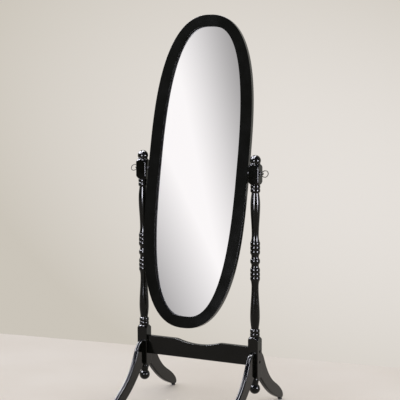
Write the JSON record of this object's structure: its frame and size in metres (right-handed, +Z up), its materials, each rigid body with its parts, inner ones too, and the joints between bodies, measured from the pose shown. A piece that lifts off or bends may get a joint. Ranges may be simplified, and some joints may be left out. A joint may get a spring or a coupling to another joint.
{
  "type": "cheval mirror",
  "caption": "Free-standing cheval mirror: oval black frame tilting between two turned posts on scrolled legs, joined by a stretcher and held by thumb screws with finger rings.",
  "frame": {"origin": "on the floor, midway between the two posts and under the tilting axis", "axes": "+Z up; +X across the stand, to the right of someone in front of it; -Y out of the mirror's front"},
  "size_m": [0.5798, 0.5046, 1.4973],
  "materials": {
    "black_lacquer": "semi-gloss black lacquer over wood",
    "bare_wood": "bare hardwood dowel",
    "hardboard": "brown hardboard",
    "mirror_glass": "silvered float glass",
    "foam": "thin foam sheet",
    "black_plastic": "black moulded plastic",
    "dark_steel": "dark nickel plated steel",
    "zinc_steel": "zinc plated steel"
  },
  "bodies": {
    "stand": {"left_post": "black_lacquer", "right_post": "black_lacquer", "stretcher": "black_lacquer", "front_left_leg": "black_lacquer", "front_right_leg": "black_lacquer", "back_left_leg": "black_lacquer", "back_right_leg": "black_lacquer", "leg_dowels": "bare_wood", "foot_glides": "black_plastic", "left_stretcher_bolts": "dark_steel", "right_stretcher_bolts": "dark_steel", "left_barrel_nuts": "zinc_steel", "right_barrel_nuts": "zinc_steel", "left_spacer": "black_plastic", "right_spacer": "black_plastic"},
    "mirror": {"oval_frame": "black_lacquer", "mirror_glass": "mirror_glass", "foam_sheet": "foam", "backing_board": "hardboard", "backing_screws": "zinc_steel", "left_threaded_insert": "zinc_steel", "right_threaded_insert": "zinc_steel"},
    "left_collar": {"left_collar": "black_plastic"},
    "right_collar": {"right_collar": "black_plastic"},
    "left_screw": {"left_thumb_screw": "dark_steel"},
    "right_screw": {"right_thumb_screw": "dark_steel"}
  },
  "joints": [
    {"name": "mirror_tilt", "type": "hinge", "parent": "stand", "child": "mirror", "pos_m": [0, 0, 0.9145], "axis": [1, 0, 0], "continuous": true},
    {"name": "left_collar_slide", "type": "slide", "parent": "stand", "child": "left_collar", "axis": [-1, 0, 0], "range_m": [0, 0.003]},
    {"name": "left_screw_turn", "type": "hinge", "parent": "left_collar", "child": "left_screw", "pos_m": [-0.2619, 0, 0.9145], "axis": [-1, 0, 0], "range_deg": [0, 1080]},
    {"name": "right_collar_slide", "type": "slide", "parent": "stand", "child": "right_collar", "axis": [1, 0, 0], "range_m": [0, 0.003]},
    {"name": "right_screw_turn", "type": "hinge", "parent": "right_collar", "child": "right_screw", "pos_m": [0.2619, 0, 0.9145], "axis": [1, 0, 0], "range_deg": [0, 1080]}
  ],
  "couplings": [
    {"joint": "left_screw_turn", "follows": "left_collar_slide", "rad_per_m": 6283.2},
    {"joint": "right_screw_turn", "follows": "right_collar_slide", "rad_per_m": 6283.2}
  ]
}
